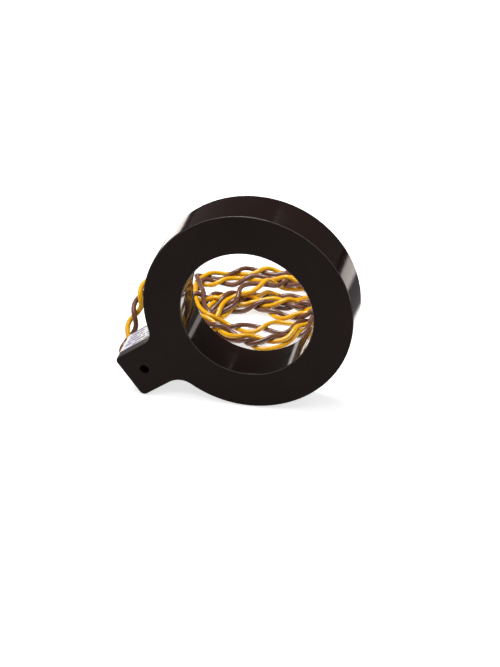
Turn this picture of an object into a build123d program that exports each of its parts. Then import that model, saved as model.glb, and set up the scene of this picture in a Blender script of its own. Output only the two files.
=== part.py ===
"""Solid-core current transformer: a wound toroid potted in a moulded ring case.

Millimetres.  The origin is the centre of the window, half way through the ring.  +Y runs along the
window's axis to the potted rear side, -Y is the closed front face, +Z is up.  The ring stands on its
rim and on the lower corner of its mounting lug, and the twisted leads lie on the same surface.
"""
import os
from math import asin, atan2, cos, degrees, hypot, pi, radians, sin, sqrt, tan

from build123d import *

os.makedirs("parts", exist_ok=True)

# ---------------------------------------------------------------- driving dimensions
ring_r = 41.0             # outer radius at the front face
ring_band = 15.1          # radial width of the ring's front face, between its rim and the window
depth = 18.4              # front face to rear rim
draft = 2.0               # degrees, outer walls widen towards the open rear
side_wall = 2.0           # outer wall of the ring
bore_wall = 1.8           # wall round the window
face_wall = 2.0           # closed front face
edge_round = 0.5          # rounding of the front edges

lug_reach = 60.0          # window axis to the lug's flat end, at the front face
lug_width = 19.6
lug_corner_r = 2.2        # rounding of the lug's two free corners
lug_fillet_upper = 5.5    # hollow rounding from the lug's upper side into the ring
lug_fillet_lower = 8.0    # hollow rounding from the lug's lower side into the ring
lug_wall = 2.2            # walls of the lug, which is cored from the rear
lug_web = 1.6             # webs that tie the screw boss to the lug's walls
screw_hole_r = 2.0        # clearance hole for a 3.5 mm screw
screw_boss_wall = 2.2
screw_reach = 51.5        # window axis to the screw hole

pad_count = 6             # pads inside the case that hold the coil off the front face
pad_width = 3.0
pad_height = 1.0
potting_drop = 0.8        # rear rim to the surface of the potting

core_clearance = 2.5      # core to the cavity's inner and outer walls
board_t = 0.4             # pressboard between core and winding
winding_t = 0.65          # closed layer of the winding
turn_height = 0.35        # turns that stand up from that layer
turn_count = 48
turn_width = 1.2
winding_gap = 10.0        # degrees left free of turns, where the winding's ends come out
tape_t = 0.3              # tape over the winding
slot_width = 7.5          # slot in the tape over that free stretch

lead_r = 1.0              # insulated lead wire
strand_r = 0.5            # stranded conductor inside it
magnet_wire_r = 0.25      # end of the winding
lead_part = 0.3           # gap between the two leads where they leave the potting
elbow_cut = 0.9           # how far each side of its elbow a lead starts to turn up out of the potting
splice_turn = 35.0        # degrees along the ring from the pair's exit to the winding's ends
tail_inset = 0.55         # core's edge to the winding end that dips beside it
sleeve_t = 0.5            # shrink sleeve over each splice
sleeve_lift = 0.1         # coil to the sleeves that lie along it
sleeve_cover = 0.1        # potting over the sleeves
sleeve_length = 10.5
sleeve_start = 6.5        # elbow of a lead to the near end of its sleeve
sleeve_overlap = 3.0      # stretch of lead insulation inside the sleeve
barrel_gap = 0.5          # end of the insulation to the crimp barrel
barrel_length = 4.5
barrel_play = 0.05        # barrel to the inside of its sleeve
barrel_grip = 2.0         # how far each conductor reaches into the barrel

label_t = 0.15
label_front_margin = 4.0  # front face to the label
label_rear_margin = 0.8   # label to the rear rim
label_end_margin = 0.9    # label to the lug's flat end
label_height = 4.2        # how far the label climbs from the lug's side towards the ring

hank_height = 14.0
hank_round = 3.0          # rounding of the hank's upper edge
bare_length = 7.0         # stripped and tinned end of each lead
bare_r = 0.55
bare_spread = 4.5         # distance between the two bare ends

# route of the twisted pair from the potting down to the standing surface and round to the hank;
# None stands for the height of a pair that lies on that surface
lead_route = [
    (-33.35, 20.5, 0.0), (-40.5, 31.0, 1.0), (-44.8, 35.0, -5.4), (-56.2, 33.0, -11.4),
    (-59.2, 28.2, -27.2), (-61.9, 22.0, -38.1), (-62.7, 15.0, None), (-56.2, 11.0, None),
    (-47.5, 15.5, None), (-41.5, 25.5, None), (-38.5, 37.5, None),
]
# corners of the loosely folded hank, seen from above, past the face that the pair enters by
hank_corners = [
    (2.0, 27.375), (20.0, 33.0), (28.5, 48.0), (29.5, 75.0), (22.0, 95.0), (6.0, 105.0),
    (-22.0, 108.0), (-45.0, 105.0), (-56.0, 93.0), (-56.0, 62.0), (-52.0, 46.0), (-47.0, 39.625),
]
hank_corner_r = 4.5
bare_along = 80.0         # y of the two bare ends, on the hank's straight left side

# ---------------------------------------------------------------- sizes that follow
window_r = ring_r - ring_band              # the window that the primary conductor passes through
front_y = -depth / 2
rear_y = depth / 2
draft_step = depth * tan(radians(draft))   # how much wider every outer side is at the rear
rim_r = ring_r + draft_step
floor_z = -rim_r                           # surface that the transformer stands on

# the lug dips just far enough for its lower corner to stand level with the rim
corner_out = lug_reach - lug_corner_r
corner_side = lug_width / 2 - lug_corner_r
lug_dip = (degrees(asin((ring_r - lug_corner_r) / hypot(corner_out, corner_side)))
           - degrees(atan2(corner_side, corner_out)))
lug_angle = 180 + lug_dip                  # from +X towards +Z

inner_face_y = front_y + face_wall
potting_y = rear_y - potting_drop
cavity_r = window_r + bore_wall            # inner wall of the cavity
cavity_out_r = ring_r - side_wall          # outer wall of the cavity, in line with the front face

sleeve_r = lead_r + sleeve_t
coil_rear_y = potting_y - sleeve_cover - 2 * sleeve_r - sleeve_lift
lead_y = coil_rear_y + sleeve_lift + sleeve_r

wrap = board_t + winding_t + turn_height + tape_t
core_r = cavity_r + core_clearance
core_out_r = cavity_out_r - core_clearance
core_build = core_out_r - core_r           # radial thickness of the wound steel strip
core_mid_r = (core_r + core_out_r) / 2
core_front_y = inner_face_y + pad_height + wrap
core_rear_y = coil_rear_y - wrap
core_height = core_rear_y - core_front_y
pair_r = 2 * lead_r                        # a twisted pair fills a round tube of two wires
lying_z = floor_z + pair_r


# ---------------------------------------------------------------- planes and profiles
def across(y):
    """A plane square to the window's axis, seen from the front: right is +X, up is +Z."""
    return Plane.XZ.offset(-y)


def lug_plane(y):
    """The same plane turned so that its x runs out along the lug and its y to the lug's lower side."""
    a = radians(lug_angle)
    return Plane(origin=(0, y, 0), x_dir=(cos(a), 0, sin(a)), z_dir=(0, -1, 0))


def radial_plane(angle):
    """A plane through the window's axis: its x runs outwards at the angle, its y is +Y."""
    a = radians(angle)
    return Plane(origin=(0, 0, 0), x_dir=(cos(a), 0, sin(a)), z_dir=(-sin(a), 0, cos(a)))


def ring_point(radius, angle, y):
    """Point at a radius and an angle about the window's axis."""
    a = radians(angle)
    return Vector(radius * cos(a), y, radius * sin(a))


def case_outline(grow):
    """Draw ring and lug in the lug's plane, with every side moved out by grow."""
    half = lug_width / 2 + grow
    end = lug_reach + grow
    root = sqrt((ring_r + grow) ** 2 - half ** 2)
    Circle(ring_r + grow)
    with Locations(((window_r + end) / 2, 0)):
        Rectangle(end - window_r, 2 * half)
    for corner, radius in (
        ((end, half), lug_corner_r + grow),
        ((end, -half), lug_corner_r + grow),
        ((root, half), lug_fillet_lower - grow),
        ((root, -half), lug_fillet_upper - grow),
    ):
        fillet(vertices().sort_by_distance((*corner, 0))[0], radius)


def coil_section(margin):
    """Rectangle in a radial plane round the core's section, with a margin on all four sides."""
    with Locations((core_mid_r, (core_front_y + core_rear_y) / 2)):
        Rectangle(core_build + 2 * margin, core_height + 2 * margin)


def ring_section(r_in, r_out, y_front, y_rear):
    """Rectangle in a radial plane between two radii and two depths."""
    with Locations(((r_in + r_out) / 2, (y_front + y_rear) / 2)):
        Rectangle(r_out - r_in, y_rear - y_front)


def cavity_section(y_rear):
    """Section of the case's cavity up to a depth: its outer wall leans with the draft."""
    lean = tan(radians(draft))
    with BuildLine() as section:
        Polyline(
            (cavity_r, inner_face_y),
            (cavity_out_r + (inner_face_y - front_y) * lean, inner_face_y),
            (cavity_out_r + (y_rear - front_y) * lean, y_rear),
            (cavity_r, y_rear),
            close=True,
        )
    make_face(section.edges())


# ---------------------------------------------------------------- moulded case
with BuildPart() as case:
    with BuildSketch(lug_plane(rear_y)):
        case_outline(draft_step)
    extrude(amount=depth, taper=draft)

    # cavity for the coil, open at the rear, with pads on its closed end
    with BuildSketch(Plane.XY):
        cavity_section(rear_y)
    revolve(axis=Axis.Y, mode=Mode.SUBTRACT)
    with BuildSketch(across(inner_face_y + pad_height)):
        with PolarLocations(core_mid_r, pad_count):
            Rectangle(core_build, pad_width)
    extrude(amount=pad_height)

    # the lug is cored from the rear, and webs tie its screw boss to the walls
    with BuildSketch(lug_plane(rear_y)):
        with Locations(((ring_r + lug_reach - lug_wall) / 2, 0)):
            Rectangle(lug_reach - lug_wall - ring_r, lug_width - 2 * lug_wall)
        Circle(rim_r, mode=Mode.SUBTRACT)
        with Locations((screw_reach, 0)):
            Circle(screw_hole_r + screw_boss_wall, mode=Mode.SUBTRACT)
            Rectangle(2 * lug_width, lug_web, mode=Mode.SUBTRACT)
            Rectangle(lug_web, 2 * lug_width, mode=Mode.SUBTRACT)
    extrude(amount=depth - face_wall, mode=Mode.SUBTRACT)

    with BuildSketch(lug_plane(rear_y)):
        Circle(window_r)
        with Locations((screw_reach, 0)):
            Circle(screw_hole_r)
    extrude(amount=depth, mode=Mode.SUBTRACT)

    front = case.faces().sort_by(Axis.Y)[0]
    window_rim = front.inner_wires().sort_by(SortBy.LENGTH)[-1]
    fillet(front.outer_wire().edges() + window_rim.edges(), edge_round)

# ---------------------------------------------------------------- wound core and its insulation
with BuildPart() as core:
    with BuildSketch(Plane.XY):
        coil_section(0)
    revolve(axis=Axis.Y)

with BuildPart() as front_board:
    with BuildSketch(Plane.XY):
        ring_section(core_r - board_t, core_out_r + board_t, core_front_y - board_t, core_front_y)
    revolve(axis=Axis.Y)

with BuildPart() as rear_board:
    with BuildSketch(Plane.XY):
        ring_section(core_r - board_t, core_out_r + board_t, core_rear_y, core_rear_y + board_t)
    revolve(axis=Axis.Y)

with BuildPart() as inner_liner:
    with BuildSketch(Plane.XY):
        ring_section(core_r - board_t, core_r, core_front_y, core_rear_y)
    revolve(axis=Axis.Y)

with BuildPart() as outer_liner:
    with BuildSketch(Plane.XY):
        ring_section(core_out_r, core_out_r + board_t, core_front_y, core_rear_y)
    revolve(axis=Axis.Y)

# ---------------------------------------------------------------- secondary winding and its tape
gap_angle = 180 - splice_turn              # middle of the stretch without turns
wound_arc = 360 - winding_gap
turn_pitch = wound_arc / turn_count
turns_margin = board_t + winding_t + turn_height

with BuildPart() as winding:
    with BuildSketch(radial_plane(gap_angle - winding_gap / 2)):
        coil_section(board_t + winding_t)
    revolve(axis=Axis.Y, revolution_arc=wound_arc)
    with BuildSketch(across((core_front_y + core_rear_y) / 2)):
        first_turn = gap_angle + (winding_gap + turn_pitch) / 2
        with PolarLocations(core_mid_r, turn_count, first_turn, wound_arc):
            Rectangle(core_build + 2 * turns_margin, turn_width)
    extrude(amount=core_height / 2 + turns_margin, both=True)
    with BuildSketch(Plane.XY):
        coil_section(turns_margin)
    revolve(axis=Axis.Y, mode=Mode.INTERSECT)
    with BuildSketch(Plane.XY):
        coil_section(board_t)
    revolve(axis=Axis.Y, mode=Mode.SUBTRACT)

with BuildPart() as winding_tape:
    with BuildSketch(Plane.XY):
        coil_section(wrap)
    revolve(axis=Axis.Y)
    with BuildSketch(Plane.XY):
        coil_section(turns_margin)
    revolve(axis=Axis.Y, mode=Mode.SUBTRACT)
    with BuildSketch(across(coil_rear_y)):
        with PolarLocations(core_mid_r, 1, gap_angle):
            Rectangle(core_build, slot_width)
    extrude(amount=tape_t, mode=Mode.SUBTRACT)


# ---------------------------------------------------------------- splices and inner ends of the leads
class Splice:
    """Places along one lead inside the potting, from its elbow to the end of the winding.

    side is +1 for the lead that lies further out and meets the winding's first turn, and -1 for
    the other.
    """

    def __init__(self, side):
        radius = core_mid_r + side * (core_build / 2 - tail_inset)
        end_angle = gap_angle - side * winding_gap / 2
        a = radians(end_angle)
        along = Vector(-sin(a), 0, cos(a)) * side
        half_gap = radius * radians(winding_gap / 2)
        self.turn_end = ring_point(radius, end_angle, core_rear_y + board_t + winding_t / 2)
        self.dip = self.turn_end + along * half_gap
        self.over = Vector(self.dip.X, lead_y, self.dip.Z)
        self.exit = Vector(-core_mid_r - side * (lead_r + lead_part / 2), potting_y, 0)
        self.elbow = Vector(self.exit.X, lead_y, 0)
        self.way = (self.over - self.elbow).normalized()

    def at(self, distance):
        """Point on the lead's straight stretch, measured from its elbow."""
        return self.elbow + self.way * distance

    def lead_way(self, distance):
        """Points from the potting's surface round the elbow to a place on the straight stretch."""
        return [self.exit, self.elbow + Vector(0, elbow_cut, 0), self.at(elbow_cut), self.at(distance)]

    def plane(self, distance):
        """Plane square to that stretch."""
        return Plane(origin=self.at(distance), z_dir=self.way)


sleeve_end = sleeve_start + sleeve_length
insulation_end = sleeve_start + sleeve_overlap
barrel_start = insulation_end + barrel_gap
barrel_end = barrel_start + barrel_length
outer_splice = Splice(1)
inner_splice = Splice(-1)


def swept_wire(points, radius):
    """Sweep a round wire along straight runs with mitred kinks between them."""
    with BuildLine() as path:
        Polyline(*points)
    with BuildSketch(Plane(origin=path.line @ 0, z_dir=path.line % 0)) as section:
        Circle(radius)
    sweep(sections=section.sketch, path=path.line, transition=Transition.RIGHT)


def conductor(splice):
    """Stranded conductor of a lead, from the potting's surface into its barrel."""
    with BuildPart() as wire:
        swept_wire(splice.lead_way(barrel_start + barrel_grip), strand_r)
    return wire.part


def insulation(splice, core_wire):
    """Insulation of a lead, from the potting's surface to just inside the sleeve."""
    with BuildPart() as jacket:
        swept_wire(splice.lead_way(insulation_end), lead_r)
        add(core_wire, mode=Mode.SUBTRACT)
    return jacket.part


def winding_end(splice):
    """End of the magnet wire, from the barrel down through the slot to the last turn."""
    start = splice.at(barrel_end - barrel_grip)
    with BuildPart() as tail:
        swept_wire([start, splice.over, splice.dip, splice.turn_end], magnet_wire_r)
    return tail.part


def barrel(splice, core_wire, tail):
    """Crimp barrel that joins a lead's conductor to the magnet wire."""
    with BuildPart() as tube:
        with BuildSketch(splice.plane(barrel_start)):
            Circle(lead_r - barrel_play)
        extrude(amount=barrel_length)
        add(core_wire, mode=Mode.SUBTRACT)
        add(tail, mode=Mode.SUBTRACT)
    return tube.part


def sleeve(splice):
    """Shrink sleeve over a barrel and the end of its lead's insulation."""
    with BuildPart() as tube:
        with BuildSketch(splice.plane(sleeve_start)):
            Circle(sleeve_r)
            Circle(lead_r, mode=Mode.SUBTRACT)
        extrude(amount=sleeve_length)
    return tube.part


splice_parts = {}
for colour, splice in (("yellow", outer_splice), ("brown", inner_splice)):
    core_wire = conductor(splice)
    tail = winding_end(splice)
    splice_parts[f"{colour}_conductor"] = core_wire
    splice_parts[f"{colour}_insulation"] = insulation(splice, core_wire)
    splice_parts[f"{colour}_splice_barrel"] = barrel(splice, core_wire, tail)
    splice_parts[f"{colour}_splice_sleeve"] = sleeve(splice)
    splice_parts[f"{colour}_winding_end"] = tail

# ---------------------------------------------------------------- potting compound
with BuildPart() as potting:
    with BuildSketch(Plane.XY):
        cavity_section(potting_y)
    revolve(axis=Axis.Y)
    with BuildSketch(Plane.XY):
        coil_section(wrap)
    revolve(axis=Axis.Y, mode=Mode.SUBTRACT)
    add(case.part, mode=Mode.SUBTRACT)
    for buried in splice_parts.values():
        add(buried, mode=Mode.SUBTRACT)

# ---------------------------------------------------------------- label on the lug's upper side
with BuildPart() as label:
    with BuildSketch(lug_plane(rear_y)):
        case_outline(draft_step + label_t)
    extrude(amount=depth, taper=draft)
    with BuildSketch(lug_plane(rear_y)):
        case_outline(draft_step)
    extrude(amount=depth, taper=draft, mode=Mode.SUBTRACT)
    with BuildSketch(lug_plane(rear_y - label_rear_margin)):
        with Locations((lug_reach - label_end_margin, -lug_width / 2 + lug_corner_r)):
            Rectangle(lug_width, label_height + lug_corner_r, align=(Align.MAX, Align.MAX))
    extrude(amount=depth - label_rear_margin - label_front_margin, mode=Mode.INTERSECT)

# ---------------------------------------------------------------- the leads outside
start = Vector(-core_mid_r, potting_y, 0)
route = [start] + [Vector(x, y, lying_z if z is None else z) for x, y, z in lead_route]


def bend_radii(points):
    """Radius of each bend: 0.45 of the shorter run over the tangent of half the turn."""
    radii = []
    for a, b, c in zip(points, points[1:], points[2:]):
        turn = (b - a).get_angle(c - b)
        radii.append(0.45 * min((b - a).length, (c - b).length) / tan(radians(turn / 2)))
    return radii


with BuildPart() as lead_pair:
    radii = bend_radii(route)
    with BuildLine() as pair_path:
        FilletPolyline(*route, radius=radii)
    with BuildSketch(Plane(origin=pair_path.line @ 0, z_dir=pair_path.line % 0)):
        Circle(pair_r)
    sweep(path=pair_path.line)

# the pair enters the hank square to the hank's near side, and the rest of it is folded there
with BuildPart() as lead_hank:
    with BuildSketch(Plane.XY.offset(floor_z)):
        with BuildLine():
            Polyline(*hank_corners, close=True)
        make_face()
        fillet(vertices(), hank_corner_r)
    extrude(amount=hank_height)
    fillet(lead_hank.faces().sort_by(Axis.Z)[-1].edges(), hank_round)

hank_side_x = min(x for x, y in hank_corners)


def bare_end(side):
    """Tinned conductor of one lead where it comes out of the hank's side."""
    plane = Plane(
        origin=(hank_side_x, bare_along + side * bare_spread / 2, floor_z + lead_r),
        z_dir=(-1, 0, 0),
    )
    with BuildPart() as tip:
        with BuildSketch(plane):
            Circle(bare_r)
        extrude(amount=bare_length)
        chamfer(tip.faces().sort_by(Axis.X)[0].edges(), bare_r / 4)
    return tip.part


# ---------------------------------------------------------------- writing the pieces
pieces = {
    "case": case.part,
    "potting": potting.part,
    "core": core.part,
    "front_board": front_board.part,
    "rear_board": rear_board.part,
    "inner_liner": inner_liner.part,
    "outer_liner": outer_liner.part,
    "winding": winding.part,
    "winding_tape": winding_tape.part,
    **splice_parts,
    "label": label.part,
    "lead_pair": lead_pair.part,
    "lead_hank": lead_hank.part,
    "yellow_bare_end": bare_end(1),
    "brown_bare_end": bare_end(-1),
}
for name, piece in pieces.items():
    piece.label = name
    export_step(piece, f"parts/{name}.step")

path_length = sum(edge.length for edge in pair_path.edges())
swept = lead_pair.part.volume / (pi * pair_r ** 2)
print("bend radii", [round(r, 1) for r in radii])
print("pair tube length", round(path_length, 2), "volume over section", round(swept, 2))
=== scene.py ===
"""A potted ring current transformer standing on a white table, its twisted leads folded behind it."""

import bpy
import numpy as np
from mathutils import Matrix, Vector


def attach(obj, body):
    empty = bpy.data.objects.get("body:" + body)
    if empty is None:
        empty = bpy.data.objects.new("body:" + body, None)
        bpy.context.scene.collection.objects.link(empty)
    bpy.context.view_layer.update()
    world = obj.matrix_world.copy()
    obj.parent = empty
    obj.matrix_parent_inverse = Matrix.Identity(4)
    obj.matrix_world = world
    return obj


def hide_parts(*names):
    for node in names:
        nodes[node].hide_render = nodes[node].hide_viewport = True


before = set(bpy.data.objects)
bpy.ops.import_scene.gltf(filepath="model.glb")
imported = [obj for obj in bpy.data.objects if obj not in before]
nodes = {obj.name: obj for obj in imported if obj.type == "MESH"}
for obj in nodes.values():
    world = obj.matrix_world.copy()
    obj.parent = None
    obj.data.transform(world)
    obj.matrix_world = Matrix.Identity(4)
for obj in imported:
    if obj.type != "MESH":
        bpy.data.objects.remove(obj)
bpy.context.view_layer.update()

MM = 0.001
FLOOR_Z = -41.6425 * MM          # the table that rim, lug corner and leads stand on

LUG_TURN = 3.7391                # the lug's direction, turned from +X towards +Z
LABEL_REAR = 8.4 * MM            # rear edge of the label

# ------------------------------------------------------------------ camera
# its place and turn come from a fit to the ring's edges in the photograph
camera_data = bpy.data.cameras.new("camera")
camera_data.sensor_fit = "VERTICAL"
camera_data.sensor_height = 24.0
camera_data.lens = 35.98
camera_data.clip_start = 0.01
camera = bpy.data.objects.new("camera", camera_data)
bpy.context.scene.collection.objects.link(camera)
right = Vector((0.97655, 0.21472, -0.01546)).normalized()
down = Vector((0.09446, -0.49194, -0.86549))
down = (down - right * down.dot(right)).normalized()
ahead = right.cross(down)
camera.matrix_world = Matrix(
    (
        (right.x, -down.x, -ahead.x, 0.07572),
        (right.y, -down.y, -ahead.y, -0.33311),
        (right.z, -down.z, -ahead.z, 0.18483),
        (0.0, 0.0, 0.0, 1.0),
    )
)
bpy.context.scene.camera = camera

# ------------------------------------------------------------------ the twisted pair's way
WIRE_R = 1.13 * MM               # drawn thicker than the 1.0 mm of the CAD leads
RISE = 1.04 * WIRE_R             # the pair's axis to each lead where the two cross
SETTLE_IN = 60.0                 # samples over which the pair goes from hanging to lying

# way of the pair from the potting down to the table and round to the hank, in millimetres:
# x, y, z, turns of twist since the point before, half the distance between the two leads.
# It follows part.py's route with up to 2 mm between its points and those.
DROP = [
    (-33.35, 8.4, 0.0, 0.0, 1.15),
    (-33.35, 20.5, 0.0, 0.35, 1.2),
    (-40.5, 31.0, 1.0, 0.45, 1.5),
    (-44.8, 35.0, -5.4, 0.32, 1.5),
    (-54.4, 33.8, -11.6, 0.38, 1.6),
    (-59.2, 28.0, -27.6, 0.92, 2.1),
    (-60.9, 22.0, -38.1, 0.53, 1.8),
    (-60.9, 15.5, -39.5, 0.25, 1.6),
    (-56.0, 11.5, -39.5, 0.3, 1.3),
    (-47.0, 16.0, -39.5, 0.35, 1.4),
    (-41.5, 25.5, -39.5, 0.4, 1.5),
    (-38.5, 37.5, -39.5, 0.45, 1.5),
]
# the folded rest of it: x, y, height of the axis over the table, then as above.  Most of these
# points were picked on a view from the camera; a helper cast them on to the table, worked out the
# shares of a turn and rounded both, to 0.5 mm and 0.01 turn.  report.md says how, and what is open.
HANK = [
    # first run, rising over the others to the right
    (-34.5, 48.0, 2.1, 0.52, 1.5), (-31.0, 56.5, 2.6, 0.38, 1.5), (-28.0, 59.5, 4.2, 0.16, 1.8),
    (-26.0, 64.5, 5.8, 0.16, 2.0), (-23.0, 68.5, 7.4, 0.21, 2.6), (-20.5, 71.0, 9.2, 0.17, 4.2),
    (-17.5, 76.0, 10.2, 0.18, 4.0), (-13.0, 80.0, 10.2, 0.15, 2.6), (-9.0, 83.5, 9.0, 0.27, 2.8),
    (-5.0, 87.5, 6.5, 0.23, 2.8), (0.0, 91.5, 4.1, 0.27, 3.4), (6.0, 92.0, 2.6, 0.26, 2.0),
    # turns right and comes back
    (14.5, 91.0, 2.1, 0.37, 1.4), (20.5, 86.0, 2.1, 0.35, 1.4), (20.5, 77.5, 2.1, 0.37, 1.4),
    (14.5, 73.5, 3.4, 0.35, 1.6), (9.5, 71.0, 5.0, 0.26, 2.2), (4.5, 71.0, 6.2, 0.24, 2.6),
    (-0.5, 69.5, 6.2, 0.22, 2.4), (-5.0, 70.0, 6.2, 0.18, 2.2), (-9.5, 68.0, 5.2, 0.17, 2.0),
    (-15.0, 68.5, 3.8, 0.25, 3.0), (-20.5, 68.0, 2.4, 0.20, 3.6), (-25.5, 65.0, 2.1, 0.18, 2.6),
    (-29.5, 58.0, 2.6, 0.42, 1.5), (-36.5, 50.0, 4.4, 0.51, 1.3),
    # round behind the lug and away again
    (-40.0, 44.0, 4.5, 0.34, 1.3), (-46.0, 42.5, 3.0, 0.32, 1.3), (-50.5, 47.0, 2.1, 0.31, 1.3),
    (-50.5, 54.0, 2.1, 0.35, 1.4), (-46.0, 62.0, 2.1, 0.45, 1.5), (-40.0, 68.5, 3.0, 0.40, 1.8),
    (-37.0, 72.0, 4.1, 0.25, 2.0), (-33.0, 75.5, 4.1, 0.25, 2.2), (-29.5, 79.0, 3.1, 0.32, 2.0),
    (-23.5, 81.0, 2.1, 0.36, 1.6), (-18.5, 80.5, 2.1, 0.32, 2.0), (-13.0, 83.0, 2.1, 0.28, 2.4),
    (-8.5, 83.5, 2.1, 0.22, 2.2), (-2.0, 81.5, 2.1, 0.30, 1.8), (4.5, 82.0, 2.6, 0.30, 1.8),
    (12.0, 78.0, 4.8, 0.26, 1.5),
    # over the first turn on the right, and back along the front
    (19.0, 78.0, 6.2, 0.24, 1.4), (25.0, 74.0, 4.6, 0.25, 1.4), (26.0, 66.5, 2.1, 0.28, 1.5),
    (20.5, 61.5, 2.1, 0.25, 1.8), (13.0, 61.5, 2.1, 0.26, 2.6), (7.5, 57.0, 2.1, 0.30, 3.0),
    (3.5, 55.5, 2.1, 0.12, 5.0), (-0.5, 53.0, 2.1, 0.12, 6.4), (-7.5, 51.0, 2.1, 0.29, 3.4),
    (-13.5, 49.5, 2.1, 0.22, 4.0), (-19.5, 49.0, 2.1, 0.28, 2.4), (-26.5, 51.0, 2.6, 0.23, 2.0),
    (-31.5, 51.0, 5.0, 0.24, 1.6), (-36.0, 57.0, 7.0, 0.15, 1.6),
    # the wide loop on the left, hugging the ring
    (-39.5, 64.5, 7.6, 0.06, 1.7), (-42.0, 72.5, 7.4, 0.03, 1.8), (-45.0, 82.0, 6.0, 0.07, 1.7),
    (-49.0, 93.5, 4.0, 0.25, 1.6), (-44.5, 97.5, 2.8, 0.30, 2.2), (-39.0, 98.0, 2.1, 0.20, 3.4),
    (-35.0, 99.5, 2.8, 0.12, 2.6), (-30.5, 98.5, 4.2, 0.12, 2.4), (-27.0, 98.5, 5.2, 0.15, 2.8),
    (-24.0, 101.0, 5.6, 0.13, 3.2), (-19.0, 102.5, 5.2, 0.21, 2.6), (-13.5, 105.0, 4.2, 0.27, 3.2),
    (-7.0, 105.5, 3.1, 0.24, 2.2),
    # the outermost turn on the right
    (-1.5, 105.5, 2.4, 0.30, 1.8), (5.0, 102.5, 2.4, 0.29, 1.5), (11.0, 99.5, 3.6, 0.33, 1.4),
    (18.5, 93.5, 5.6, 0.47, 1.4), (24.0, 85.5, 6.2, 0.47, 1.4), (25.5, 76.0, 8.0, 0.48, 1.4),
    (22.5, 67.5, 7.6, 0.43, 1.4), (15.5, 63.0, 6.2, 0.42, 1.8), (10.5, 62.0, 4.2, 0.27, 2.2),
    (4.5, 62.0, 2.6, 0.27, 2.4), (-1.0, 63.5, 2.1, 0.23, 2.2), (-6.5, 66.0, 2.1, 0.22, 1.8),
    (-13.5, 70.5, 4.2, 0.28, 1.6), (-20.0, 75.0, 6.4, 0.30, 1.6), (-25.0, 73.5, 6.4, 0.20, 2.0),
    (-29.5, 68.5, 6.4, 0.25, 2.6), (-32.5, 63.5, 5.0, 0.15, 2.0),
    # round on the left once more
    (-35.0, 54.5, 4.0, 0.47, 1.4), (-40.0, 53.5, 5.2, 0.29, 1.3), (-44.0, 48.5, 5.2, 0.32, 1.3),
    (-41.5, 42.5, 5.2, 0.33, 1.3), (-34.5, 41.0, 4.4, 0.36, 1.3), (-29.0, 45.0, 2.6, 0.38, 2.4),
    (-23.0, 44.0, 2.1, 0.25, 3.2), (-18.0, 42.0, 2.1, 0.12, 2.4), (-12.5, 37.5, 2.1, 0.11, 2.4),
    (-7.5, 35.0, 2.1, 0.16, 3.2), (-3.0, 36.5, 2.1, 0.13, 3.8), (1.5, 40.5, 2.1, 0.08, 4.0),
    (6.5, 44.5, 2.1, 0.08, 3.0), (11.5, 48.0, 2.1, 0.20, 1.9), (17.0, 54.0, 3.0, 0.28, 1.5),
    (24.0, 55.5, 4.4, 0.29, 1.3), (30.0, 59.0, 5.0, 0.27, 1.3), (32.5, 66.0, 5.0, 0.29, 1.3),
    (30.0, 73.0, 5.0, 0.28, 1.3), (22.5, 75.0, 5.0, 0.30, 1.3), (17.0, 69.5, 4.8, 0.30, 1.3),
    (15.5, 61.5, 4.6, 0.31, 1.3), (12.5, 49.0, 4.2, 0.53, 1.8), (8.0, 44.5, 4.2, 0.22, 2.0),
    (4.0, 41.0, 4.4, 0.21, 1.8), (0.0, 37.5, 4.2, 0.19, 1.6), (-6.5, 37.5, 4.0, 0.25, 1.8),
    (-11.0, 36.0, 4.0, 0.22, 1.8), (-15.5, 38.5, 4.2, 0.16, 1.8), (-21.5, 42.0, 4.4, 0.22, 1.6),
    (-26.5, 43.0, 5.6, 0.25, 1.4),
    # a short turn on the left, and to the right again through the middle
    (-38.0, 52.5, 6.0, 0.73, 1.3), (-44.5, 54.0, 6.2, 0.31, 1.3), (-48.0, 60.5, 6.2, 0.35, 1.3),
    (-45.0, 67.0, 6.0, 0.34, 1.3), (-38.0, 69.0, 5.6, 0.34, 1.3), (-30.5, 67.5, 5.5, 0.35, 1.4),
    (-25.0, 64.5, 5.2, 0.33, 1.8), (-19.5, 69.5, 5.0, 0.30, 2.6), (-14.0, 73.0, 4.6, 0.15, 2.6),
    (-7.0, 71.5, 4.4, 0.15, 2.4), (0.0, 71.0, 4.2, 0.25, 2.2), (7.5, 69.5, 4.2, 0.27, 1.8),
    (14.5, 69.5, 6.0, 0.29, 1.4), (21.5, 66.5, 7.0, 0.29, 1.4), (27.5, 71.5, 8.6, 0.31, 1.4),
    (25.5, 80.5, 10.0, 0.36, 1.4), (17.5, 86.5, 8.2, 0.40, 1.4),
    # last run, back to the left along the far side, and the two free ends
    (9.0, 88.5, 6.4, 0.35, 1.6), (0.0, 88.5, 8.0, 0.34, 1.8), (-6.5, 89.5, 6.8, 0.29, 2.0),
    (-13.0, 94.0, 5.6, 0.14, 2.0), (-18.5, 95.5, 4.6, 0.13, 2.0), (-24.0, 94.5, 4.0, 0.26, 2.2),
    (-28.5, 94.5, 3.1, 0.16, 3.4), (-32.5, 92.5, 2.1, 0.12, 3.4), (-37.0, 92.0, 2.1, 0.22, 2.4),
    (-42.0, 92.0, 2.1, 0.22, 2.8), (-46.5, 88.5, 2.1, 0.21, 2.0), (-47.0, 84.5, 1.6, 0.17, 1.8),
    (-50.5, 81.0, 1.2, 0.00, 2.1), (-53.0, 80.0, 1.0, 0.00, 2.2), (-56.0, 80.0, 1.0, 0.00, 2.2),
]


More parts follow.
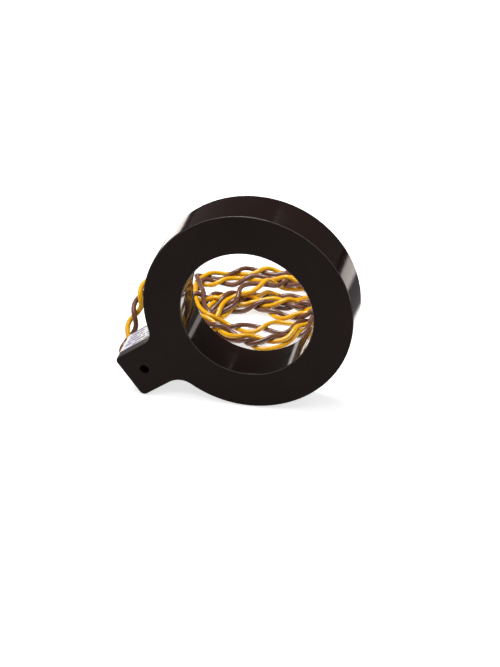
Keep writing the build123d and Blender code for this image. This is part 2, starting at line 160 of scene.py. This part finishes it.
def route_curve(name, points):
    """Quadratic B-spline with the points as its control points, from the first one to the last one."""
    data = bpy.data.curves.new(name, "CURVE")
    data.dimensions = "3D"
    data.resolution_u = 14
    spline = data.splines.new("NURBS")
    spline.points.add(len(points) - 1)
    spline.points.foreach_set("co", np.column_stack([points, np.ones(len(points))]).ravel())
    spline.order_u = 3
    spline.use_endpoint_u = True
    return bpy.data.objects.new(name, data)


def read_curve(curve):
    """Points along a curve without bevel, in their order, as Blender evaluates it."""
    mesh = bpy.data.meshes.new_from_object(curve)
    points = np.zeros(len(mesh.vertices) * 3)
    mesh.vertices.foreach_get("co", points)
    bpy.data.meshes.remove(mesh)
    bpy.data.objects.remove(curve)
    return points.reshape(-1, 3)


way = np.array(DROP + HANK)
way[len(DROP):, 2] += FLOOR_Z / MM
way_points = way[:, :3] * MM
twist_points = np.column_stack([np.cumsum(way[:, 3]) * MM, way[:, 4] * MM, 0 * way[:, 3]])
axis = read_curve(route_curve("pair_way", way_points))
twist = read_curve(route_curve("pair_twist", twist_points))


# ------------------------------------------------------------------ the two leads
def unit(vectors):
    """Each row over its own length."""
    return vectors / np.linalg.norm(vectors, axis=1)[:, None]


def tangents(points):
    """Unit direction of a line at each of its points, from its neighbours on both sides."""
    return unit(np.gradient(points, axis=0))


def smooth(values, width):
    """Each row becomes the mean of its neighbours under a raised-cosine window; the ends are kept."""
    window = 0.5 - 0.5 * np.cos(np.linspace(0, 2 * np.pi, width + 2)[1:-1])
    window /= window.sum()
    half = width // 2
    padded = np.pad(values, ((half, half), (0, 0)), mode="edge")
    return np.stack([np.convolve(column, window, "valid") for column in padded.T], axis=1)


def twisted(axis, turns, spread, side, lying):
    """Centreline of one lead: the axis plus spread x cos(angle) sideways and a wire's radius x sin(angle)
    downwards, with the angle 2 pi x turns, and the other lead half a turn on.  Where the pair lies
    (lying 1), the axis sinks by up to a wire's radius between the crossings, so that the lower lead
    keeps its height and the upper one bends over it."""
    along = tangents(axis)
    sideways = unit(np.cross(np.array([[0.0, 0.0, 1.0]]), along))
    sideways = unit(smooth(sideways, 25))
    upwards = np.cross(along, sideways)
    angle = 2 * np.pi * turns[:, None]
    crossing = (np.sqrt(np.sin(angle) ** 2 + 0.05) - 0.224) / 0.801
    sunk = RISE * lying[:, None] * (crossing - 1) * np.array([[0.0, 0.0, 1.0]])
    offset = spread[:, None] * np.cos(angle) * sideways - RISE * np.sin(angle) * upwards
    return axis + sunk + side * offset


def settle(lines, still, rounds):
    """Let the leads come to rest on one another: wherever two points that aren't near each other along
    the leads are closer than a wire, both move half of the shortfall apart, the moves are spread along
    the leads, every sixth round rounds the leads' own bends, and no point goes below the table."""
    count = len(lines[0])
    points = np.concatenate(lines)
    place = np.tile(np.arange(count), len(lines))
    wire = np.repeat(np.arange(len(lines)), count)
    loose = np.clip((place - still) / SETTLE_IN, 0, 1)
    loose *= np.clip((count - 1 - place - 20) / SETTLE_IN, 0, 1)
    need = 2.02 * WIRE_R
    for turn in range(rounds):
        push = np.zeros_like(points)
        hits = np.zeros(len(points))
        for first in range(0, len(points), 400):
            block = slice(first, first + 400)
            gap = points[block, None, :] - points[None, :, :]
            apart = np.linalg.norm(gap, axis=2)
            same = wire[block, None] == wire[None, :]
            near = np.abs(place[block, None] - place[None, :]) < 14
            close = (apart < need) & ~(same & near)
            rows, others = np.nonzero(close)
            if not len(rows):
                continue
            g = gap[rows, others]
            d = apart[rows, others][:, None] + 1e-9
            move = g / d * (need - d) * 0.5
            np.add.at(push, rows + first, move)
            np.add.at(hits, rows + first, 1)
        push /= np.maximum(hits, 1)[:, None]
        for n in range(len(lines)):
            part = slice(n * count, (n + 1) * count)
            push[part] = smooth(push[part], 9)
        points += 1.6 * push * loose[:, None]
        if turn % 6 == 0:
            for n in range(len(lines)):
                part = slice(n * count, (n + 1) * count)
                points[part] += (smooth(points[part], 15) - points[part]) * loose[part, None]
        points[:, 2] = np.maximum(points[:, 2], FLOOR_Z + WIRE_R)
    return [points[n * count : (n + 1) * count] for n in range(len(lines))]


lead_turns, lead_spread = twist[:, 0] / MM, twist[:, 1]
still = int(np.argmin(np.linalg.norm(axis - way_points[len(DROP) - 3], axis=1)))
lying = np.clip((np.arange(len(axis)) - still) / SETTLE_IN, 0, 1)
yellow_way = twisted(axis, lead_turns, lead_spread, 1, lying)
brown_way = twisted(axis, lead_turns, lead_spread, -1, lying)
yellow_way, brown_way = settle([yellow_way, brown_way], still, rounds=25)


# ------------------------------------------------------------------ meshes
def grid_mesh(name, points, closed_across, uv_along=None):
    """Mesh of a grid of points, rows x columns, with quads between neighbours; the columns may close on
    themselves.  uv_along gives each row's first texture coordinate, the columns run from 0 to 1."""
    rows, columns = points.shape[:2]
    index = np.arange(rows * columns).reshape(rows, columns)
    if closed_across:
        index = np.concatenate([index, index[:, :1]], axis=1)
    quads = np.stack([index[:-1, :-1], index[:-1, 1:], index[1:, 1:], index[1:, :-1]], axis=-1)
    mesh = bpy.data.meshes.new(name)
    mesh.from_pydata(points.reshape(-1, 3), [], quads.reshape(-1, 4).tolist())
    if uv_along is not None:
        u = np.broadcast_to(np.asarray(uv_along)[:, None], index.shape)
        v = np.broadcast_to(np.linspace(0, 1, index.shape[1])[None, :], index.shape)
        uv = np.stack([u, v], axis=-1)
        corners = np.stack([uv[:-1, :-1], uv[:-1, 1:], uv[1:, 1:], uv[1:, :-1]], axis=-2)
        layer = mesh.uv_layers.new(name="along")
        layer.data.foreach_set("uv", corners.reshape(-1))
    mesh.polygons.foreach_set("use_smooth", np.ones(len(mesh.polygons), bool))
    mesh.update()
    return mesh


def add_piece(name, mesh, material):
    """Object of a mesh that rides on the transformer."""
    piece = bpy.data.objects.new(name, mesh)
    bpy.context.scene.collection.objects.link(piece)
    mesh.materials.append(material)
    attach(piece, "root")
    return piece


def round_wire(name, line, radius, sides):
    """Tube of a radius along a line: each ring is the line's point plus radius x (cos v x side + sin v x up),
    with side square to the line and level, and both ends are closed by shrinking rings."""
    along = tangents(line)
    side = unit(smooth(unit(np.cross(np.array([[0.0, 0.0, 1.0]]), along)), 25))
    side = unit(side - (side * along).sum(1)[:, None] * along)
    up = np.cross(along, side)
    around = np.linspace(0, 2 * np.pi, sides, endpoint=False)
    size = np.full(len(line), radius)
    line = np.concatenate([line[:1], line[:1], line, line[-1:], line[-1:]])
    size = np.concatenate([[0.02 * radius, 0.97 * radius], size, [0.97 * radius, 0.02 * radius]])
    side = np.concatenate([side[:1], side[:1], side, side[-1:], side[-1:]])
    up = np.concatenate([up[:1], up[:1], up, up[-1:], up[-1:]])
    ring = np.cos(around)[None, :, None] * side[:, None, :] + np.sin(around)[None, :, None] * up[:, None, :]
    points = line[:, None, :] + size[:, None, None] * ring
    length = np.concatenate([[0.0], np.cumsum(np.linalg.norm(np.diff(line, axis=0), axis=1))])
    return grid_mesh(name, points, True, uv_along=length)


# ------------------------------------------------------------------ finishes
class Finish:
    """A material under construction: its nodes, links and main shader."""

    def __init__(self, name):
        self.material = bpy.data.materials.new(name)
        self.material.use_nodes = True
        self.tree = self.material.node_tree
        self.shader = self.tree.nodes["Principled BSDF"]
        self.places = self.tree.nodes.new("ShaderNodeTexCoord")

    def set(self, **values):
        """Constant values straight on the shader's sockets, such as Roughness or Metallic."""
        for socket, value in values.items():
            self.shader.inputs[socket.replace("_", " ")].default_value = value
        return self

    def node(self, kind, **values):
        """A node with plain values: input sockets by name, everything else as a property."""
        node = self.tree.nodes.new(kind)
        for key, value in values.items():
            socket = key.replace("_", " ")
            if socket in node.inputs:
                node.inputs[socket].default_value = value
            else:
                setattr(node, key, value)
        return node

    def link(self, source, target):
        """A link between two sockets."""
        self.tree.links.new(source, target)

    def noise(self, scale, detail=3.0, roughness=0.5, stretch=(1.0, 1.0, 1.0), vector="Object"):
        """Noise over the piece's own coordinates, scaled per metre, and stretched along the axes."""
        mapping = self.node("ShaderNodeMapping")
        mapping.inputs["Scale"].default_value = stretch
        self.link(self.places.outputs[vector], mapping.inputs["Vector"])
        noise = self.node("ShaderNodeTexNoise", Scale=scale, Detail=detail, Roughness=roughness)
        self.link(mapping.outputs["Vector"], noise.inputs["Vector"])
        return noise.outputs["Fac"]

    def ramp(self, factor, *stops):
        """A colour ramp over a factor, from (place, colour) stops."""
        ramp = self.node("ShaderNodeValToRGB")
        elements = ramp.color_ramp.elements
        while len(elements) < len(stops):
            elements.new(0.5)
        for element, (place, colour) in zip(elements, stops):
            element.position = place
            element.color = (*colour, 1.0)
        self.link(factor, ramp.inputs["Fac"])
        return ramp.outputs["Color"]

    def between(self, factor, low, high, start=0.0, end=1.0):
        """A factor mapped from start..end to low..high, held at both ends."""
        mapped = self.node("ShaderNodeMapRange")
        for socket, value in zip(("From Min", "From Max", "To Min", "To Max"), (start, end, low, high)):
            mapped.inputs[socket].default_value = value
        self.link(factor, mapped.inputs["Value"])
        return mapped.outputs["Result"]

    def sum(self, first, second, operation="ADD"):
        """Two factors put together."""
        math_node = self.node("ShaderNodeMath", operation=operation)
        for socket, value in zip(math_node.inputs, (first, second)):
            if isinstance(value, (int, float)):
                socket.default_value = value
            else:
                self.link(value, socket)
        return math_node.outputs[0]

    def mix(self, factor, first, second):
        """One colour over another by a factor; a colour may be a socket or three numbers."""
        mixer = self.node("ShaderNodeMix", data_type="RGBA")
        self.link(factor, mixer.inputs[0])
        for socket, value in ((mixer.inputs[6], first), (mixer.inputs[7], second)):
            if isinstance(value, tuple):
                socket.default_value = (*value, 1.0)
            else:
                self.link(value, socket)
        return mixer.outputs[2]

    def colour(self, source):
        """Link the base colour."""
        self.link(source, self.shader.inputs["Base Color"])
        return self

    def rough(self, source):
        """Link the roughness."""
        self.link(source, self.shader.inputs["Roughness"])
        return self

    def bump(self, height, distance, strength=1.0):
        """Bump of a height factor, over a distance in metres, on top of the bumps so far."""
        bump = self.node("ShaderNodeBump", Strength=strength, Distance=distance)
        self.link(height, bump.inputs["Height"])
        before = self.shader.inputs["Normal"].links
        if before:
            self.link(before[0].from_socket, bump.inputs["Normal"])
        self.link(bump.outputs["Normal"], self.shader.inputs["Normal"])
        return self

    def axis_value(self, axis, vector="Object"):
        """One coordinate of the piece."""
        split = self.node("ShaderNodeSeparateXYZ")
        self.link(self.places.outputs[vector], split.inputs["Vector"])
        return split.outputs[axis]

    def lug_places(self):
        """The piece's coordinates turned so that X runs out along the lug."""
        turned = self.node("ShaderNodeMapping")
        turned.inputs["Rotation"].default_value = (0.0, LUG_TURN, 0.0)
        self.link(self.places.outputs["Object"], turned.inputs["Vector"])
        split = self.node("ShaderNodeSeparateXYZ")
        self.link(turned.outputs["Vector"], split.inputs["Vector"])
        return split.outputs


def moulded_black():
    """Glass-smooth black walls and a satin front face, with a fine grain and faint handling marks."""
    f = Finish("moulded_black").set(Specular_IOR_Level=0.18)
    front = f.between(f.axis_value("Y"), 1.0, 0.0, start=-9.1 * MM, end=-8.8 * MM)
    cloud = f.noise(35.0, detail=4.0)
    plain = f.ramp(cloud, (0.3, (0.0080, 0.0032, 0.0022)), (0.7, (0.0110, 0.0046, 0.0032)))
    # the rounded front edges are painted a little lighter, between 0.03 and 0.35 mm behind the face: a
    # painted highlight standing in for the lamp's reflection along the edge rounding
    height = f.axis_value("Y")
    painted_edge_highlight = f.sum(
        f.between(height, 0.0, 1.0, start=-9.17 * MM, end=-9.12 * MM),
        f.between(height, 1.0, 0.0, start=-8.98 * MM, end=-8.85 * MM),
        "MULTIPLY",
    )
    f.colour(f.mix(painted_edge_highlight, plain, (0.052, 0.046, 0.044)))
    grain = f.noise(2600.0, detail=2.0)
    marks = f.noise(60.0, detail=6.0, roughness=0.6, stretch=(1.0, 3.0, 1.0))
    walls = f.between(marks, 0.06, 0.13, start=0.35, end=0.7)
    face = f.between(grain, 0.36, 0.44)
    # the lug's flanks are satin too, from 42 mm out along the lug
    flank = f.between(f.lug_places()["X"], 0.0, 0.42, start=42.0 * MM, end=44.0 * MM)
    walls = f.sum(walls, flank, "MAXIMUM")
    f.rough(f.sum(f.sum(front, face, "MULTIPLY"), f.sum(f.sum(1.0, front, "SUBTRACT"), walls, "MULTIPLY")))
    f.bump(f.sum(grain, front, "MULTIPLY"), 0.012 * MM)
    f.bump(f.noise(90.0, detail=1.0), 0.02 * MM)
    return f.material


def potting_resin():
    """Poured black resin: glossy, slightly uneven, with a few small craters left by bubbles."""
    f = Finish("potting_resin").set(Specular_IOR_Level=0.5)
    cloud = f.noise(70.0, detail=5.0)
    f.colour(f.ramp(cloud, (0.3, (0.0065, 0.0058, 0.0058)), (0.7, (0.012, 0.0105, 0.010))))
    f.rough(f.between(f.noise(160.0, detail=5.0), 0.10, 0.28, start=0.35, end=0.7))
    cells = f.node("ShaderNodeTexVoronoi", Scale=140.0)
    f.link(f.places.outputs["Object"], cells.inputs["Vector"])
    f.bump(f.between(cells.outputs["Distance"], 0.0, 1.0, start=0.04, end=0.13), 0.25 * MM, 0.6)
    f.bump(f.noise(45.0, detail=2.0), 0.35 * MM)
    return f.material


def wire_insulation(name, deep, bright):
    """Glossy PVC insulation: clouded colour, a fine uneven surface and a few scuffs."""
    f = Finish(name).set(Specular_IOR_Level=0.5, Subsurface_Weight=0.06, Subsurface_Scale=0.0006)
    patches = f.noise(120.0, detail=4.0)
    f.colour(f.ramp(patches, (0.3, deep), (0.65, bright)))
    f.rough(f.between(f.noise(420.0, detail=4.0), 0.12, 0.24, start=0.3, end=0.7))
    f.bump(f.noise(700.0, detail=3.0), 0.02 * MM)
    return f.material


def tinned_strands():
    """Tinned copper strands laid in a slow helix about the lead's own line, which runs along X."""
    f = Finish("tinned_strands").set(Metallic=1.0)
    tint = f.noise(900.0, detail=3.0)
    f.colour(f.ramp(tint, (0.3, (0.55, 0.54, 0.52)), (0.7, (0.78, 0.77, 0.74))))
    f.rough(f.between(tint, 0.18, 0.36))
    mapping = f.node("ShaderNodeMapping")
    mapping.inputs["Rotation"].default_value = (0.0, 0.0, 0.5)
    f.link(f.places.outputs["Object"], mapping.inputs["Vector"])
    waves = f.node("ShaderNodeTexWave", Scale=800.0, Distortion=0.4, bands_direction="Y")
    f.link(mapping.outputs["Vector"], waves.inputs["Vector"])
    f.bump(waves.outputs["Fac"], 0.12 * MM)
    return f.material


def printed_label():
    """White label with a dull sheen; its print is only rows of broken grey bars and a pale tinted field, laid
    along the lug (first coordinate) and across it (Y), and it turns dark over the last 0.5 to 0.7 mm before
    its rear edge."""
    f = Finish("printed_label").set(Specular_IOR_Level=0.5)
    lug = f.lug_places()
    along, across = lug["X"], lug["Y"]
    paper = f.noise(300.0, detail=5.0)
    white = f.ramp(paper, (0.3, (0.60, 0.60, 0.61)), (0.7, (0.68, 0.68, 0.68)))
    pitch = f.sum(across, 2.4 * MM, "DIVIDE")
    place_in_row = f.sum(pitch, 1.0, "FRACT")
    rows = f.between(place_in_row, 1.0, 0.0, start=0.46, end=0.54)
    number = f.sum(pitch, 1.0, "FLOOR")
    spots = f.node("ShaderNodeCombineXYZ")
    f.link(f.sum(along, 500.0, "MULTIPLY"), spots.inputs["X"])
    f.link(f.sum(number, 7.3, "MULTIPLY"), spots.inputs["Y"])
    broken = f.node("ShaderNodeTexNoise", Scale=1.0, Detail=1.0)
    f.link(spots.outputs["Vector"], broken.inputs["Vector"])
    dashes = f.between(broken.outputs["Fac"], 0.0, 1.0, start=0.42, end=0.46)
    inside = f.sum(
        f.between(along, 0.0, 1.0, start=42.0 * MM, end=42.2 * MM),
        f.between(along, 1.0, 0.0, start=56.6 * MM, end=56.8 * MM),
        "MULTIPLY",
    )
    field = f.between(along, 0.0, 1.0, start=49.8 * MM, end=50.0 * MM)
    paper_colour = f.mix(f.sum(field, inside, "MULTIPLY"), white, (0.50, 0.47, 0.56))
    bars = f.sum(f.sum(rows, dashes, "MULTIPLY"), inside, "MULTIPLY")
    printed = f.mix(bars, paper_colour, (0.09, 0.09, 0.12))
    # darker over the last 0.5 to 0.7 mm before the label's rear edge
    rear_dark_line = f.between(across, 0.0, 1.0, start=LABEL_REAR - 0.7 * MM, end=LABEL_REAR - 0.5 * MM)
    f.colour(f.mix(rear_dark_line, printed, (0.10, 0.105, 0.12)))
    f.rough(f.between(paper, 0.34, 0.5))
    f.bump(f.noise(900.0, detail=2.0), 0.02 * MM)
    return f.material


def simple_finish(name, dark, light, roughness, scale, metallic=0.0, height=0.03):
    """An even finish with clouded colour, uneven gloss and a light texture."""
    f = Finish(name).set(Metallic=metallic)
    cloud = f.noise(scale, detail=5.0)
    f.colour(f.ramp(cloud, (0.3, dark), (0.7, light)))
    f.rough(f.between(cloud, roughness - 0.08, roughness + 0.08))
    f.bump(f.noise(3 * scale, detail=4.0), height * MM)
    return f.material


def wrapped_steel():
    """Wound steel strip: bright fine rings about the window's axis."""
    f = Finish("wrapped_steel").set(Metallic=1.0)
    rings = f.node("ShaderNodeTexWave", wave_type="RINGS", rings_direction="Y", Scale=900.0, Distortion=0.3)
    f.link(f.places.outputs["Object"], rings.inputs["Vector"])
    f.colour(f.ramp(rings.outputs["Fac"], (0.2, (0.22, 0.21, 0.20)), (0.8, (0.44, 0.43, 0.41))))
    f.rough(f.between(f.noise(200.0), 0.3, 0.45))
    f.bump(rings.outputs["Fac"], 0.05 * MM)
    return f.material


YELLOW_DEEP, YELLOW_BRIGHT = (0.66, 0.31, 0.003), (0.80, 0.41, 0.005)
BROWN_DEEP, BROWN_BRIGHT = (0.110, 0.044, 0.026), (0.165, 0.070, 0.042)

black = moulded_black()
resin = potting_resin()
yellow_pvc = wire_insulation("yellow_insulation", YELLOW_DEEP, YELLOW_BRIGHT)
brown_pvc = wire_insulation("brown_insulation", BROWN_DEEP, BROWN_BRIGHT)
tinned = tinned_strands()
label_paper = printed_label()
board = simple_finish("pressboard", (0.42, 0.30, 0.17), (0.55, 0.41, 0.25), 0.75, 400.0)
enamel = simple_finish("magnet_wire", (0.40, 0.13, 0.05), (0.58, 0.22, 0.09), 0.28, 500.0, metallic=0.8)
tape = simple_finish("winding_tape", (0.55, 0.42, 0.06), (0.70, 0.55, 0.10), 0.30, 180.0)
sleeving = simple_finish("splice_sleeve", (0.010, 0.010, 0.010), (0.020, 0.019, 0.018), 0.45, 600.0)
steel = wrapped_steel()

finish_of = {
    "case": black,
    "potting": resin,
    "core": steel,
    "front_board": board,
    "rear_board": board,
    "inner_liner": board,
    "outer_liner": board,
    "winding": enamel,
    "winding_tape": tape,
    "label": label_paper,
}
for colour, pvc in (("yellow", yellow_pvc), ("brown", brown_pvc)):
    finish_of[f"{colour}_conductor"] = tinned
    finish_of[f"{colour}_insulation"] = pvc
    finish_of[f"{colour}_splice_barrel"] = tinned
    finish_of[f"{colour}_splice_sleeve"] = sleeving
    finish_of[f"{colour}_winding_end"] = enamel
    finish_of[f"{colour}_bare_end"] = tinned
for node, finish in finish_of.items():
    nodes[node].data.materials.clear()
    nodes[node].data.materials.append(finish)

# ------------------------------------------------------------------ the leads' pieces
for colour, line, pvc in (("yellow", yellow_way, yellow_pvc), ("brown", brown_way, brown_pvc)):
    lead = add_piece(f"{colour}_lead", round_wire(f"{colour}_lead", line, WIRE_R, 14), pvc)
    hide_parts("lead_pair", "lead_hank")

# ------------------------------------------------------------------ table, lights and surroundings
def painted_mirror_pools(f):
    """How brightly the table glows for mirror rays alone, by place, a painted reflection: bright behind the
    object inside one wide soft circle and outside a second, bright again close by, inside a third, and less
    in front."""
    pool = []
    for centre, radius, edge, inside in (
        ((-0.08, 0.08), 0.62, 0.10, 1.0),
        ((0.02, 0.05), 0.175, 0.02, 0.0),
        ((0.02, 0.05), 0.047, 0.008, 1.0),
    ):
        away = f.node("ShaderNodeVectorMath", operation="DISTANCE")
        f.link(f.places.outputs["Object"], away.inputs[0])
        away.inputs[1].default_value = (*centre, FLOOR_Z)
        pool.append(
            f.between(away.outputs["Value"], inside, 1.0 - inside, start=radius - edge, end=radius + edge)
        )
    behind = f.between(f.axis_value("Y"), 0.0, 1.0, start=-0.02, end=0.06)
    pool = f.sum(f.sum(f.sum(pool[0], pool[1], "MULTIPLY"), pool[2]), behind, "MULTIPLY")
    before = f.sum(f.sum(1.0, behind, "SUBTRACT"), 0.4, "MULTIPLY")
    return f.sum(f.sum(pool, 2.5, "MULTIPLY"), before)


def stage_floor():
    """The pale table, wide enough to fill every view.  Mirror rays alone meet a darker table with painted
    glowing pools on it, a painted reflection.
    """
    side = 6.0
    corners = np.array([(-side, -side), (side, -side), (side, side), (-side, side)])
    mesh = bpy.data.meshes.new("table")
    mesh.from_pydata(np.column_stack([corners, np.full(4, FLOOR_Z)]), [], [(0, 1, 2, 3)])
    floor = bpy.data.objects.new("table", mesh)
    bpy.context.scene.collection.objects.link(floor)
    f = Finish("white_table").set(Roughness=0.85, Specular_IOR_Level=0.1)
    rays = f.node("ShaderNodeLightPath")
    # mirror rays see the table darker: painted shade in its reflections
    f.colour(f.mix(rays.outputs["Is Glossy Ray"], (0.72, 0.72, 0.72), (0.13, 0.13, 0.13)))
    painted_mirror_light = f.sum(painted_mirror_pools(f), rays.outputs["Is Glossy Ray"], "MULTIPLY")
    seen = f.sum(rays.outputs["Is Camera Ray"], rays.outputs["Is Transmission Ray"], "MAXIMUM")
    # mirror rays see its glow a little warm: part of the painted reflection
    f.link(
        f.mix(rays.outputs["Is Glossy Ray"], (1.0, 1.0, 1.0), (1.0, 0.91, 0.85)),
        f.shader.inputs["Emission Color"],
    )
    away = f.node("ShaderNodeVectorMath", operation="LENGTH")
    f.link(f.places.outputs["Object"], away.inputs[0])
    paler = f.between(away.outputs["Value"], 0.70, 1.0, start=0.35, end=1.2)
    f.link(f.sum(f.sum(seen, paler, "MULTIPLY"), painted_mirror_light), f.shader.inputs["Emission Strength"])
    mesh.materials.append(f.material)


def soft_box(name, place, aim, width, height, power):
    """Rectangular soft light at a place, turned to a point."""
    data = bpy.data.lights.new(name, "AREA")
    data.shape = "RECTANGLE"
    data.size, data.size_y, data.energy = width, height, power
    lamp = bpy.data.objects.new(name, data)
    bpy.context.scene.collection.objects.link(lamp)
    lamp.location = place
    lamp.rotation_euler = (Vector(aim) - Vector(place)).to_track_quat("-Z", "Y").to_euler()


stage_floor()
soft_box("overhead", (-0.12, 0.12, 0.70), (0.0, 0.03, -0.03), 0.42, 0.42, 7.6)
soft_box("front_top", (0.0, -0.35, 0.60), (0.0, 0.0, 0.0), 0.80, 0.14, 1.0)
soft_box("back_card", (0.17, 0.57, 0.45), (0.0, 0.0, -0.02), 0.24, 0.09, 0.14)
soft_box("front_right", (0.55, -0.45, 0.50), (0.0, 0.0, 0.0), 0.55, 0.20, 0.9)
soft_box("front_left", (-0.60, -0.40, 0.50), (0.0, 0.0, 0.0), 0.55, 0.20, 0.9)

world = bpy.data.worlds.new("studio")
world.use_nodes = True
background = world.node_tree.nodes["Background"]
background.inputs["Color"].default_value = (1.0, 1.0, 1.0, 1.0)
rays = world.node_tree.nodes.new("ShaderNodeLightPath")
source = None
for ray, strength in (("Is Glossy Ray", 0.12), ("Is Camera Ray", 1.0), ("Is Transmission Ray", 1.0)):
    level = world.node_tree.nodes.new("ShaderNodeMapRange")
    level.inputs["To Min"].default_value = 0.20      # all that it lights
    level.inputs["To Max"].default_value = strength  # what this kind of ray meets
    world.node_tree.links.new(rays.outputs[ray], level.inputs["Value"])
    if source is not None:
        world.node_tree.links.new(source, level.inputs["To Min"])
    source = level.outputs["Result"]
world.node_tree.links.new(source, background.inputs["Strength"])
bpy.context.scene.world = world
bpy.context.scene.view_settings.view_transform = "Standard"
